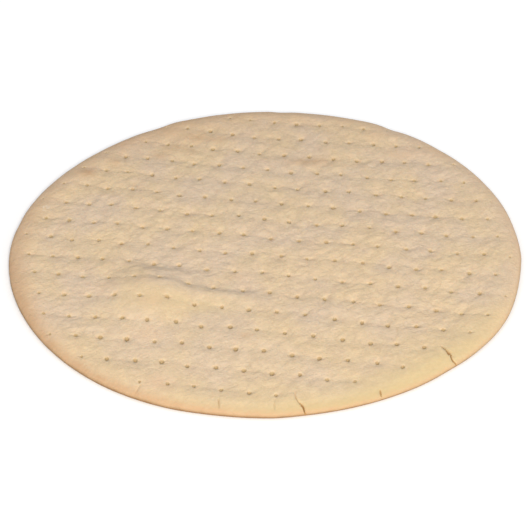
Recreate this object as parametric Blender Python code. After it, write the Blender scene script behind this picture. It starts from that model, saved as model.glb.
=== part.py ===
"""A par-baked pizza crust: one thin round of dough, docked all over, with a bare puffed rim.

Metres, +Z up. The origin is the middle of the flat underside, and -Y is the near side.
The crust is one solid. A Delaunay mesh through the docking holes is its top sheet, lifted by
the height functions below. The rounded edge is drawn down from the sheet's border and closed
by the flat underside, and two cracks are cut into the rim.
"""

import math

import bmesh
import bpy
import numpy as np
from mathutils.geometry import delaunay_2d_cdt

NAME = "pizza_crust"
NODE = "crust"

# The round: a 14 inch crust, drawn slightly out of round by hand.
RADIUS = 0.1770
LOBES = (  # (how many to the turn, size as a share of the radius, bearing of one of them in degrees)
    (1, 0.0020, 27.0),
    (2, 0.0130, 28.0),
    (3, 0.0039, -44.0),
    (4, 0.0031, -25.0),
    (5, 0.0024, -35.0),
    (6, 0.0015, -11.0),
)
KNOCKS = (  # places where the rim was pushed in or out: (bearing in degrees, push, width in degrees)
    (-102.0, -0.0005, 6.0),
    (-88.0, 0.0005, 4.0),
    (-48.0, -0.0006, 5.0),
    (-29.0, 0.0006, 9.0),
    (-15.0, -0.0009, 7.0),
    (-8.0, -0.0005, 4.0),
    (17.0, 0.0005, 7.0),
    (42.0, -0.0006, 5.0),
    (57.5, -0.0010, 2.8),
    (63.0, 0.0008, 5.0),
    (79.5, -0.0005, 4.0),
    (86.0, -0.0012, 2.4),
    (113.5, 0.0008, 3.0),
    (119.5, -0.0008, 3.0),
    (170.5, -0.0004, 3.6),
)
FIELD_THICK = 0.0060  # the docked middle, between the holes
RIM_RISE = 0.0008  # how far the bare rim puffs above the middle
RIM_CREST = 0.0140  # from the outline in to the rim's crest
RIM_WIDTH = 0.0090

# The edge. The skin falls along a quarter ellipse to the edge's widest line, then turns under.
ROUNDING = 0.0108  # from the outline in to where the skin starts to fall
BORDER = 0.0045  # from the outline in to the border of the top sheet, partly down that ellipse
UNDER_ROUND = 0.0022
EDGE_MIDDLE = 0.0020  # height of the widest line of the edge
EDGE_ANGLES = (39.0, 20.0, 0.0, -38.0, -90.0)  # degrees above the widest line
EDGE_POINTS = 144

# Docking: rows of pin holes, each row about half a pitch along from the last.
PITCH = 0.0189
ROW_GAP = 0.0207
STAGGER = 0.475  # of the pitch
ROW_TURN = math.radians(-8.6)
MIDDLE_HOLE = (0.0039, 0.0093)
SLIP = (0.0010, 0.0012)  # how far a hole may lie from its place, along x and y
HASH = (12.9898, 78.233, 37.719, 43758.5453)  # spreads counts over 0 to 1 with no visible pattern
DRAW_IN = 0.076  # the sides of the near and far rows are drawn in
DRAW_OUT = 0.051  # the side rows spread apart
ROW_SWAY = 0.042
ROW_BEND = 0.019
SIDE_SQUEEZE = 0.033
SIDE_PULL = (0.013, -0.015)  # square terms of the springing back along x, and then along y
AWAY_PULL = (0.009, 0.008)
LAST_HOLE = 0.967  # of the way out to the outline
TORN_HOLES = ((5, 5), (-1, 8), (2, 7))  # column and row of the holes that cracks run through
FULL_SIZE = 0.88  # holes further out have closed up more
CLOSED_UP = 0.5  # how much of its size the last hole has lost
SIZE_SPREAD = 0.15  # how much larger or smaller than the usual a hole may be
PIT_RADIUS = 0.0014
PIT_DEPTH = 0.0030
PIT_CORNERS = 6
DIMPLE_RADIUS = 0.0056
DIMPLE_DEPTH = 0.00045
DIMPLE_AWAY = 2.5  # how much deeper the dimples are, for each metre further from the viewer
PILLOW_STEPS = (  # points between the holes, as shares of a pitch along and of a row down
    (0.5, 0.0),
    (0.0, 0.5),
    (-0.5, 0.5),
    (1.0 / 3.0, 1.0 / 3.0),
    (-1.0 / 3.0, 2.0 / 3.0),
)

ROW_SWELL = 0.0001  # the sheet stands this much higher between two rows, and lower along them

# The blister, a large bubble under the skin, and the two rolls that its skin makes behind it.
BLISTER_MIDDLE = (-0.0786, -0.0580)
BLISTER_REACH = 0.0385
BLISTER_RISE = 0.0046
BLISTER_FULLNESS = 2.2
CREST_ROLL = (  # the foot of the roll along the bubble's back, and on to the right: (x, y, rise)
    (-0.1110, -0.0445, 0.0000),
    (-0.0980, -0.0453, 0.0012),
    (-0.0850, -0.0412, 0.0022),
    (-0.0710, -0.0409, 0.0027),
    (-0.0550, -0.0455, 0.0028),
    (-0.0370, -0.0505, 0.0046),
    (-0.0150, -0.0536, 0.0039),
    (0.0100, -0.0595, 0.0000),
)
BACK_ROLL = (  # the foot of the roll where the bubble's back meets the flat: (x, y, rise)
    (-0.1200, -0.0414, 0.0000),
    (-0.0990, -0.0305, 0.0021),
    (-0.0860, -0.0224, 0.0030),
    (-0.0720, -0.0255, 0.0029),
    (-0.0570, -0.0256, 0.0026),
    (-0.0400, -0.0350, 0.0000),
)
ROLL_STEEP = 0.0068  # how soon a roll has risen, in front of its foot
ROLL_CORNER = 0.0015  # how softly it starts to
CREST_GENTLE = 0.0128  # how soon it has fallen back to the sheet
BACK_GENTLE = 0.0250
ROLL_BANDS = (-0.0100, -0.0048, -0.0014, 0.0014)  # lines of points either side of a roll's foot
ROLL_STEP = 0.0060

# Slow waves of the whole sheet: (wavelength, height, bearing of the wave in degrees, start in degrees)
WAVES = (
    (0.118, 0.00030, 70.0, 20.0),
    (0.083, 0.00026, 12.0, 140.0),
    (0.057, 0.00020, 118.0, 260.0),
)

# Cracks in the rim: points as (bearing in degrees, share of the way out), the last past the edge.
CRACKS = {
    "crack_near": ((-83.3, 0.920), (-82.8, 0.947), (-82.2, 0.973), (-81.6, 1.030)),
    "crack_right": ((-44.5, 0.914), (-44.7, 0.950), (-45.5, 0.982), (-46.0, 1.030)),
}
CRACK_WIDTH = 0.0012
CRACK_TIP = 0.25  # the crack's width at its inner end, as a share of the width at the edge
CRACK_FLOOR = 0.0024  # what is left uncut above the underside

LEAST_GAP = 0.0017  # between points of the top sheet
SAME_POINT = 1e-6
RIM_RINGS = (0.957, 0.928)  # extra rings of points on the rim, as shares of the way out

CRUST_COLOUR = (0.62, 0.47, 0.31, 1.0)
CRUST_ROUGHNESS = 0.85
SHARP_ANGLE = math.radians(50.0)


def outline_radius(bearing):
    """Distance from the middle to the outline, at a bearing in radians."""
    reach = RADIUS * np.ones_like(bearing)
    for count, size, at in LOBES:
        reach = reach + RADIUS * size * np.cos(count * (bearing - math.radians(at)))
    for at, push, width in KNOCKS:
        off = np.degrees(bearing) - at
        off = (off + 180.0) % 360.0 - 180.0
        reach = reach + push * np.exp(-((off / width) ** 2))
    return reach


def share_out(x, y):
    """How far out a point is: 0 at the middle and 1 on the outline."""
    return np.hypot(x, y) / outline_radius(np.arctan2(y, x))


def at_share(bearing, share):
    """The plan point at a bearing and a share of the way out."""
    reach = share * outline_radius(bearing)
    return reach * math.cos(bearing), reach * math.sin(bearing)


def uneven(i, j, use):
    """A repeatable uneven number from -1 to 1 for hole (i, j)."""
    share = (math.sin(HASH[0] * i + HASH[1] * j + HASH[2] * use) * HASH[3]) % 1.0
    return 2.0 * share - 1.0


def spring_back(x, y):
    """How far the dough's springing back moves a mark at a place, as (along x, along y)."""
    u, v = x / RADIUS, y / RADIUS
    right = ROW_SWAY * v**3 - DRAW_IN * u * v**2 - SIDE_SQUEEZE * u**3
    right += SIDE_PULL[0] * u**2 + SIDE_PULL[1] * u * v
    away = DRAW_OUT * u**2 * v + ROW_BEND * u**3
    away += AWAY_PULL[0] * u * v + AWAY_PULL[1] * v**2
    return RADIUS * right, RADIUS * away


def docked_place(i, j):
    """Where pin (i, j) marks the dough, once the sheet has sprung back."""
    along, down = PITCH * (i + STAGGER * j), ROW_GAP * j
    x = MIDDLE_HOLE[0] + along * math.cos(ROW_TURN) + down * math.sin(ROW_TURN)
    y = MIDDLE_HOLE[1] + along * math.sin(ROW_TURN) - down * math.cos(ROW_TURN)
    right, away = spring_back(x, y)
    return x + right, y + away


def row_count(x, y):
    """How many rows a place lies below the middle hole's row: a whole number on a row of holes."""
    right, away = spring_back(x, y)
    from_middle = x - right - MIDDLE_HOLE[0], y - away - MIDDLE_HOLE[1]
    return (from_middle[0] * math.sin(ROW_TURN) - from_middle[1] * math.cos(ROW_TURN)) / ROW_GAP


def lattice():
    """The count (i, j) of every pin that could reach the round: i along a row, j by rows down."""
    rows = int(RADIUS / ROW_GAP) + 1
    reach = int(RADIUS / PITCH) + rows
    return [(i, j) for j in range(-rows, rows + 1) for i in range(-reach, reach + 1)]


def docking_holes():
    """Every hole as (x, y, size), where size is 1 for a full one."""
    holes = []
    for i, j in (pin for pin in lattice() if pin not in TORN_HOLES):
        x, y = docked_place(i, j)
        x += SLIP[0] * uneven(i, j, 1)
        y += SLIP[1] * uneven(i, j, 2)
        share = float(share_out(x, y))
        if share < LAST_HOLE:
            closing = CLOSED_UP * max(0.0, share - FULL_SIZE) / (LAST_HOLE - FULL_SIZE)
            holes.append((x, y, (1.0 + SIZE_SPREAD * uneven(i, j, 3)) * (1.0 - closing)))
    return holes


def dome(x, y):
    """The blister's rounded swelling."""
    away = np.hypot(x - BLISTER_MIDDLE[0], y - BLISTER_MIDDLE[1]) / BLISTER_REACH
    return BLISTER_RISE * np.clip(1.0 - away**2, 0.0, None) ** BLISTER_FULLNESS


def roll(x, y, foot, gentle):
    """A roll of the skin: it rises at once in front of its foot, rounds over and falls slowly."""
    at_x, at_y, rises = zip(*foot)
    front = ROLL_CORNER * np.logaddexp(0.0, (np.interp(x, at_x, at_y) - y) / ROLL_CORNER)
    rise = np.interp(x, at_x, rises)
    return rise * (1.0 - np.exp(-front / ROLL_STEEP)) * np.exp(-((front / gentle) ** 2))


def slow_waves(x, y):
    """The sheet's own slight unevenness."""
    total = np.zeros_like(x)
    for wavelength, height, bearing, start in WAVES:
        turn = math.radians(bearing)
        phase = 2.0 * math.pi * (x * math.cos(turn) + y * math.sin(turn)) / wavelength
        total += height * np.sin(phase + math.radians(start))
    return total


def bend(inward):
    """The share of its height over the widest line that the skin keeps, by how far in it lies."""
    short = np.clip(1.0 - inward / ROUNDING, 0.0, 1.0)
    return np.sqrt(1.0 - short**2)


def top_height(x, y, holes):
    """Height of the top skin over the underside's plane, for arrays of plan points."""
    inward = (1.0 - share_out(x, y)) * RADIUS
    height = FIELD_THICK + RIM_RISE * np.exp(-(((inward - RIM_CREST) / RIM_WIDTH) ** 2))
    height += dome(x, y) + roll(x, y, CREST_ROLL, CREST_GENTLE) + roll(x, y, BACK_ROLL, BACK_GENTLE)
    swell = slow_waves(x, y) - ROW_SWELL * np.cos(2.0 * math.pi * row_count(x, y))
    height += swell * np.clip(inward / RIM_CREST, 0.0, 1.0)
    for hole_x, hole_y, size in holes:
        away = np.hypot(x - hole_x, y - hole_y)
        dimple = DIMPLE_DEPTH * size * (1.0 + DIMPLE_AWAY * y)
        height -= dimple * np.exp(-((away / DIMPLE_RADIUS) ** 2))
        height -= PIT_DEPTH * size * np.clip(1.0 - away / (PIT_RADIUS * size), 0.0, 1.0)
    return EDGE_MIDDLE + (height - EDGE_MIDDLE) * bend(inward)


def ring(middle, radius, corners, turn=0.0):
    """Points evenly round a circle."""
    angles = [turn + 2.0 * math.pi * k / corners for k in range(corners)]
    return [(middle[0] + radius * math.cos(a), middle[1] + radius * math.sin(a)) for a in angles]


def rim_ring(share, offset=0.0):
    """Points right round the crust at one share of the way out, offset by part of a step."""
    bearings = [2.0 * math.pi * (k + offset) / EDGE_POINTS for k in range(EDGE_POINTS)]
    return [at_share(bearing, share) for bearing in bearings]


def between_holes():
    """Points of the pillows that stand between the holes, and of the lines that join them."""
    return [
        docked_place(i + along, j + down)
        for i, j in lattice()
        for along, down in PILLOW_STEPS
    ]


def beside_rolls():
    """Points in lines along the foot of each roll."""
    points = []
    for foot in (CREST_ROLL, BACK_ROLL):
        at_x, at_y, _ = zip(*foot)
        for x in np.arange(at_x[0], at_x[-1], ROLL_STEP):
            points.extend((x, np.interp(x, at_x, at_y) + band) for band in ROLL_BANDS)
    return points


def sheet_points(holes):
    """Plan points of the top sheet: the border, the holes, their dimples, and what lies between."""
    kept = rim_ring(1.0 - BORDER / RADIUS)
    for x, y, size in holes:
        kept.append((x, y))
        kept.extend(ring((x, y), PIT_RADIUS * size, PIT_CORNERS))
    wanted = []
    for x, y, size in holes:
        wanted.extend(ring((x, y), DIMPLE_RADIUS * size, PIT_CORNERS, math.pi / PIT_CORNERS))
    wanted.extend(beside_rolls())
    wanted.extend(between_holes())
    for share in RIM_RINGS:
        wanted.extend(rim_ring(share, 0.5))
    limit = 1.0 - (BORDER + LEAST_GAP) / RADIUS
    taken = np.array(kept)
    for point in wanted:
        gaps = np.hypot(taken[:, 0] - point[0], taken[:, 1] - point[1])
        if share_out(*point) < limit and gaps.min() > LEAST_GAP:
            taken = np.vstack([taken, point])
    return taken


def top_sheet(holes):
    """A bmesh of the open top skin."""
    plan = sheet_points(holes)
    border = [(k, (k + 1) % EDGE_POINTS) for k in range(EDGE_POINTS)]
    places, _, triangles, *_ = delaunay_2d_cdt([tuple(p) for p in plan], border, [], 0, SAME_POINT)
    flat = np.array([tuple(place) for place in places])
    heights = top_height(flat[:, 0], flat[:, 1], holes)
    sheet = bmesh.new()
    corners = [sheet.verts.new((x, y, z)) for (x, y), z in zip(flat, heights)]
    for triangle in triangles:
        sheet.faces.new([corners[k] for k in triangle])
    return sheet


def draw_edge_down(sheet):
    """Extrudes the sheet's border round the edge and under, and closes the flat underside."""
    rim = [edge for edge in sheet.edges if edge.is_boundary]
    crest = {}
    for angle in EDGE_ANGLES:
        turn = math.radians(angle)
        below = bmesh.ops.extrude_edge_only(sheet, edges=rim)["geom"]
        rim = [item for item in below if isinstance(item, bmesh.types.BMEdge)]
        for corner in (item for item in below if isinstance(item, bmesh.types.BMVert)):
            bearing = math.atan2(corner.co.y, corner.co.x)
            top = crest.setdefault(round(bearing, 4), corner.co.z)
            inward = (ROUNDING if angle > 0.0 else UNDER_ROUND) * (1.0 - math.cos(turn))
            x, y = at_share(bearing, 1.0 - inward / RADIUS)
            span = (top - EDGE_MIDDLE) / bend(BORDER) if angle > 0.0 else EDGE_MIDDLE
            corner.co = (x, y, EDGE_MIDDLE + span * math.sin(turn))
    underside = bmesh.ops.contextual_create(sheet, geom=rim)["faces"]
    bmesh.ops.poke(sheet, faces=underside)


def crust_mesh(holes):
    """The whole crust as a closed mesh."""
    sheet = top_sheet(holes)
    draw_edge_down(sheet)
    bmesh.ops.recalc_face_normals(sheet, faces=sheet.faces)
    mesh = bpy.data.meshes.new(NODE)
    sheet.to_mesh(mesh)
    sheet.free()
    return mesh


def middle_of_outline():
    """The plan middle of the box round the outline, which the crust is set down on."""
    bearings = np.linspace(0.0, 2.0 * math.pi, EDGE_POINTS, endpoint=False)
    reach = outline_radius(bearings)
    x, y = reach * np.cos(bearings), reach * np.sin(bearings)
    return 0.5 * (x.min() + x.max()), 0.5 * (y.min() + y.max())


def crack_cutter(name, stops, collection):
    """A crooked sliver, widest at the edge and closing to nothing inwards, as a Boolean cutter."""
    middle = np.array([at_share(math.radians(bearing), share) for bearing, share in stops])
    way = np.gradient(middle, axis=0)
    side = np.column_stack([-way[:, 1], way[:, 0]]) / np.linalg.norm(way, axis=1)[:, None]
    half = 0.5 * CRACK_WIDTH * np.linspace(CRACK_TIP, 1.0, len(middle))[:, None]
    plan = np.vstack([middle + side * half, (middle - side * half)[::-1]])
    sliver = bmesh.new()
    foot = sliver.faces.new([sliver.verts.new((x, y, CRACK_FLOOR)) for x, y in plan])
    raised = bmesh.ops.extrude_face_region(sliver, geom=[foot])["geom"]
    corners = [item for item in raised if isinstance(item, bmesh.types.BMVert)]
    bmesh.ops.translate(sliver, verts=corners, vec=(0.0, 0.0, 2.0 * FIELD_THICK))
    bmesh.ops.recalc_face_normals(sliver, faces=sliver.faces)
    mesh = bpy.data.meshes.new(name)
    sliver.to_mesh(mesh)
    sliver.free()
    cutter = bpy.data.objects.new(name, mesh)
    cutter.hide_render = True
    cutter.display_type = "WIRE"
    collection.objects.link(cutter)
    return cutter


def crust_material():
    """Pale, dry, matt dough."""
    material = bpy.data.materials.new("baked_dough")
    material.use_nodes = True
    shader = material.node_tree.nodes["Principled BSDF"]
    shader.inputs["Base Color"].default_value = CRUST_COLOUR
    shader.inputs["Roughness"].default_value = CRUST_ROUGHNESS
    shader.inputs["Metallic"].default_value = 0.0
    return material


def new_collection(name):
    """A collection linked to the scene."""
    collection = bpy.data.collections.new(name)
    bpy.context.scene.collection.children.link(collection)
    return collection


def main():
    """Builds the crust in an empty scene."""
    for old in list(bpy.data.objects):
        bpy.data.objects.remove(old)
    parts = new_collection(NAME)
    cutters = new_collection("cutters")
    crust = bpy.data.objects.new(NODE, crust_mesh(docking_holes()))
    crust.data.materials.append(crust_material())
    crust.data.shade_smooth()
    crust.data.set_sharp_from_angle(angle=SHARP_ANGLE)
    parts.objects.link(crust)
    to_middle = [-offset for offset in middle_of_outline()]
    crust.location = (*to_middle, 0.0)
    for name, stops in CRACKS.items():
        cut = crust.modifiers.new(name, "BOOLEAN")
        cut.operation = "DIFFERENCE"
        cut.object = crack_cutter(name, stops, cutters)
        cut.object.location = crust.location


main()
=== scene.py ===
"""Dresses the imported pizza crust: one par-baked round of docked dough, lying on a pale floor.

The round is one closed surface worked out with numpy from the same named sizes as its solid. It adds the
finer relief that a solid of few faces leaves out: creases that join the docking holes, the wrinkles of the
skin, fine cracks in the rim and pin marks underneath. Metres, +Z up, and the viewer stands at -Y.

Plan places are a pair of arrays, along x and along y. Bearings run anticlockwise from +X, in radians unless
degrees are named. A share of the way out is 0 in the middle and 1 on the outline, and inward is the distance
in from the outline.
"""

import logging
import math
from dataclasses import dataclass
from enum import Enum
from functools import cached_property
from typing import Any

import bpy
import numpy as np
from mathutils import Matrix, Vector


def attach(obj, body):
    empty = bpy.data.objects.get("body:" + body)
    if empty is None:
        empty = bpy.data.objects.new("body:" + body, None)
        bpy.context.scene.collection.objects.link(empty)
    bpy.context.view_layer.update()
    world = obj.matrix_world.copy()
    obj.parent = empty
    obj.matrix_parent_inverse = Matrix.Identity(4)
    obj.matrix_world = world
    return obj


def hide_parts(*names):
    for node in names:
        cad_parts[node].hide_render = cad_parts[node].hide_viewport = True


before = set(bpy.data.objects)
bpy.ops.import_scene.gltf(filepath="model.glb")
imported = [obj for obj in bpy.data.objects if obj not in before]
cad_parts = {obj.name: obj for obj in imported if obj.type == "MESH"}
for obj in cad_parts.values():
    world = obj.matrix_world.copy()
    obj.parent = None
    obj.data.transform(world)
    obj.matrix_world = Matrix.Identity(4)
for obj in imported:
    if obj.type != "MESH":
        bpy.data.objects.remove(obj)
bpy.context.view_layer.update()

LOG = logging.getLogger("pizza_crust")
BODY = "root"
SOLID = "crust"

Array = np.ndarray
Places = tuple[Array, Array]
Pair = tuple[float, float]
Stops = tuple[tuple[float, float, float], ...]
Colour = tuple[float, float, float, float]


class Mask(Enum):
    """The attributes of the round that its finish reads, each a number at every point."""

    EDGE = "edge"  # 0 where the skin starts to round over, 1 on the widest line, 2 on the flat below
    UNDER = "under"  # 1 on the underside
    PIT_STAIN_AND_SHADE = "pit"  # 1 in the middle of a docking hole, where its brown crumb and painted shade lie
    CREASE = "crease"  # 1 along the floor of a crease, where painted shade darkens the skin
    CRACK = "crack"  # 1 inside a crack
    TOAST = "toast"  # how much browner than the pale middle the skin is baked
    WARM_AND_LIT = "warm"  # how much warmer and lighter the skin is painted: partly the oven's colour, partly painted light where it lies in shade
    GOLD_AND_SHADE = "gold"  # how golden and dark the front rim is painted: partly golden baking, partly painted shade that tones down the lamp's full light on its face
    FLOUR = "flour"  # how thickly flour lies
    PUFF = "puff"  # 1 where the skin is puffed smooth


Masks = dict[Mask, Array]


class Seed(Enum):
    """What each set of random numbers is for."""

    CREASES = 11
    BEND_X = 21
    BEND_Y = 22
    PUCKER = 31
    LUMPS = 41
    PILLOWS = 42
    WRINKLES = 43
    PEBBLES = 44
    EDGE = 45
    UNDERSIDE = 51


def smooth(value: Array) -> Array:
    """An easing of 0 to 1: three times the square less twice the cube, held level outside."""
    held = np.clip(value, 0.0, 1.0)
    return held * held * (3.0 - 2.0 * held)


def bell(off: Array, width: float | Array, power: int = 2) -> Array:
    """A bell curve: the falling exponential of a distance over a width, to a power."""
    return np.exp(-((off / width) ** power))


def off_bearing(bearing: Array, line: float | Array) -> Array:
    """Degrees from a bearing in degrees, the short way round, to bearings in radians."""
    return (np.degrees(bearing) - line + 180.0) % 360.0 - 180.0


@dataclass(frozen=True)
class Rough:
    """Repeatable rough numbers over the plan: a table of random values, eased between its places."""

    seed: Seed
    most: float  # about the largest number
    long: float  # length of the largest patches
    wide: float  # their width
    turn: float = 0.0  # bearing of their length, in degrees
    layers: int = 2
    cells: int = 97  # of the table, along each side
    start: Pair = (0.37, 0.61)  # where the plan's middle lies on it
    finer: float = 1.93  # how much smaller the patches of each further layer are
    fainter: float = 0.55  # and how much weaker
    shift: Pair = (0.171, -0.093)  # how far it is moved
    twist: float = 11.0  # and turned, in degrees

    def layer(self, at: Places, count: int) -> Array:
        """One layer of soft patches.

        The plan is moved, turned and divided by the patches' length and width. Each place's value is the
        table's four nearest values weighted by how near they are, with the weights eased.

        Args:
            at: Plan places.
            count: How many layers come before it.

        Returns:
            Values from -1 to 1.
        """
        table = np.random.default_rng(self.seed.value).uniform(-1.0, 1.0, (self.cells, self.cells))
        turn, finer = math.radians(self.turn + self.twist * count), self.finer**count
        x, y = (place + move * count for place, move in zip(at, self.shift))
        u = (x * math.cos(turn) + y * math.sin(turn)) / (self.long / finer) + self.start[0]
        v = (y * math.cos(turn) - x * math.sin(turn)) / (self.wide / finer) + self.start[1]
        column, row = np.floor(u).astype(int), np.floor(v).astype(int)
        across, up = smooth(u - column), smooth(v - row)
        left, right = column % self.cells, (column + 1) % self.cells
        low, high = row % self.cells, (row + 1) % self.cells
        near = table[low, left] * (1.0 - across) + table[low, right] * across
        far = table[high, left] * (1.0 - across) + table[high, right] * across
        return near * (1.0 - up) + far * up

    def values(self, at: Places) -> Array:
        """The weighted mean of its layers, times the largest number."""
        weights = [self.fainter**count for count in range(self.layers)]
        total = sum(weight * self.layer(at, count) for count, weight in enumerate(weights))
        return self.most * (total / sum(weights))


@dataclass(frozen=True)
class Outline:
    """The plan outline of a round that was drawn slightly out of true by hand."""

    radius: float = 0.177
    lobes: Stops = (  # count to the turn, share of the radius, bearing of one of them in degrees
        (1, 0.002, 27.0), (2, 0.013, 28.0), (3, 0.0039, -44.0), (4, 0.0031, -25.0), (5, 0.0024, -35.0),
        (6, 0.0015, -11.0),
    )
    knocks: Stops = (  # bearing in degrees, push, width in degrees
        (-102.0, -0.0005, 6.0), (-88.0, 0.0005, 4.0), (-48.0, -0.0006, 5.0), (-29.0, 0.0006, 9.0),
        (-15.0, -0.0009, 7.0), (-8.0, -0.0005, 4.0), (17.0, 0.0005, 7.0), (42.0, -0.0006, 5.0),
        (57.5, -0.001, 2.8), (63.0, 0.0008, 5.0), (79.5, -0.0005, 4.0), (86.0, -0.0012, 2.4),
        (113.5, 0.0008, 3.0), (119.5, -0.0008, 3.0), (170.5, -0.0004, 3.6),
    )
    samples: int = 144

    def reach(self, bearing: Array) -> Array:
        """Distance to the outline: the radius, plus a cosine for each lobe and a bump for each knock."""
        total = self.radius * np.ones_like(bearing)
        for count, share, peak in self.lobes:
            total = total + self.radius * share * np.cos(count * (bearing - math.radians(peak)))
        for middle, push, width in self.knocks:
            total = total + push * bell(off_bearing(bearing, middle), width)
        return total

    def share(self, at: Places) -> Array:
        """How far out each place is."""
        return np.hypot(*at) / self.reach(np.arctan2(at[1], at[0]))

    def place(self, bearing: Array, share: float | Array) -> Places:
        """The plan places at bearings and shares of the way out."""
        away = share * self.reach(bearing)
        return away * np.cos(bearing), away * np.sin(bearing)

    def middle(self) -> Pair:
        """The middle of the box round the outline, which the round is set down on."""
        x, y = self.place(np.linspace(0.0, 2.0 * math.pi, self.samples, endpoint=False), 1.0)
        return 0.5 * (x.min() + x.max()), 0.5 * (y.min() + y.max())


@dataclass(frozen=True)
class Holes:
    """Every docking hole, as arrays of one length."""

    x: Array
    y: Array
    size: Array
    column: Array
    row: Array

    def nearest(self, at: Places, block: int = 8192) -> tuple[Array, Array, Array]:
        """How each place lies to the hole nearest to it, by the least of all its squared distances.

        Args:
            at: Plan places.
            block: How many places are compared at once.

        Returns:
            The offset from the hole along x and along y, and the hole's size.
        """
        x, y = at
        parts = []
        for start in range(0, len(x), block):
            off_x = x[start : start + block, None] - self.x[None, :]
            off_y = y[start : start + block, None] - self.y[None, :]
            parts.append(np.argmin(off_x**2 + off_y**2, axis=1))
        near = np.concatenate(parts)
        return x - self.x[near], y - self.y[near], self.size[near]


@dataclass(frozen=True)
class Docking:
    """The rows of pin holes that a docker rolled into the sheet, and how the sheet sprang back."""

    pitch: float = 0.0189
    row_gap: float = 0.0207
    stagger: float = 0.475  # of the pitch
    turn: float = math.radians(-8.6)
    middle: Pair = (0.0039, 0.0093)
    slip: Pair = (0.001, 0.0012)  # how far a hole may lie from its place
    spread: tuple[float, float, float, float] = (12.9898, 78.233, 37.719, 43758.5453)  # of the uneven sine
    draw_in: float = 0.076  # the sides of the near and far rows are drawn in
    draw_out: float = 0.051  # the side rows spread apart
    sway: float = 0.042  # further cubic terms of the springing back
    bend: float = 0.019
    squeeze: float = 0.033
    side_pull: Pair = (0.013, -0.015)  # square terms of the springing back along x, and then along y
    away_pull: Pair = (0.009, 0.008)
    last: float = 0.967  # of the way out
    full: float = 0.88  # holes further out have closed up more
    closed_up: float = 0.5
    size_spread: float = 0.15
    torn: tuple[tuple[int, int], ...] = ((5, 5), (-1, 8), (2, 7))  # column and row, where cracks run through

    def uneven(self, column: Array, row: Array, use: int) -> Array:
        """An uneven number from -1 to 1 for each hole and use: the broken part of a large sine."""
        a, b, c, large = self.spread
        return 2.0 * ((np.sin(a * column + b * row + c * use) * large) % 1.0) - 1.0

    def spring_back(self, at: Places, radius: float) -> Places:
        """How far springing back moves a mark: square and cubic terms of its place in radii."""
        u, v = at[0] / radius, at[1] / radius
        right = self.sway * v**3 - self.draw_in * u * v**2 - self.squeeze * u**3
        away = self.draw_out * u**2 * v + self.bend * u**3
        right += self.side_pull[0] * u**2 + self.side_pull[1] * u * v
        away += self.away_pull[0] * u * v + self.away_pull[1] * v**2
        return radius * right, radius * away

    def place(self, column: Array, row: Array, radius: float) -> Places:
        """Where pins mark the dough.

        Each place is a step along the turned row and a step down the rows, moved by the spring back.

        Args:
            column: Counts along a row.
            row: Counts of rows down.
            radius: The round's radius.

        Returns:
            Plan places.
        """
        along, down = self.pitch * (column + self.stagger * row), self.row_gap * row
        x = self.middle[0] + along * math.cos(self.turn) + down * math.sin(self.turn)
        y = self.middle[1] + along * math.sin(self.turn) - down * math.cos(self.turn)
        right, away = self.spring_back((x, y), radius)
        return x + right, y + away

    def rows_down(self, at: Places, radius: float) -> Array:
        """How many rows a place lies below the middle hole's row: whole on a row of holes."""
        right, away = self.spring_back(at, radius)
        from_x, from_y = at[0] - right - self.middle[0], at[1] - away - self.middle[1]
        return (from_x * math.sin(self.turn) - from_y * math.cos(self.turn)) / self.row_gap

    def holes(self, outline: Outline) -> Holes:
        """Every hole that lies on the round.

        Args:
            outline: The round's outline.

        Returns:
            The holes, smaller towards the rim, where they have closed up.
        """
        rows = int(outline.radius / self.row_gap) + 1
        reach = int(outline.radius / self.pitch) + rows
        column, row = np.meshgrid(np.arange(-reach, reach + 1), np.arange(-rows, rows + 1))
        column, row = column.ravel(), row.ravel()
        x, y = self.place(column, row, outline.radius)
        slip_x, slip_y, larger = (self.uneven(column, row, use) for use in (1, 2, 3))
        x, y = x + self.slip[0] * slip_x, y + self.slip[1] * slip_y
        share = outline.share((x, y))
        closing = self.closed_up * np.clip(share - self.full, 0.0, None) / (self.last - self.full)
        size = (1.0 + self.size_spread * larger) * (1.0 - closing)
        kept = share < self.last
        for torn_column, torn_row in self.torn:
            kept &= (column != torn_column) | (row != torn_row)
        return Holes(x[kept], y[kept], size[kept], column[kept], row[kept])


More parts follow.
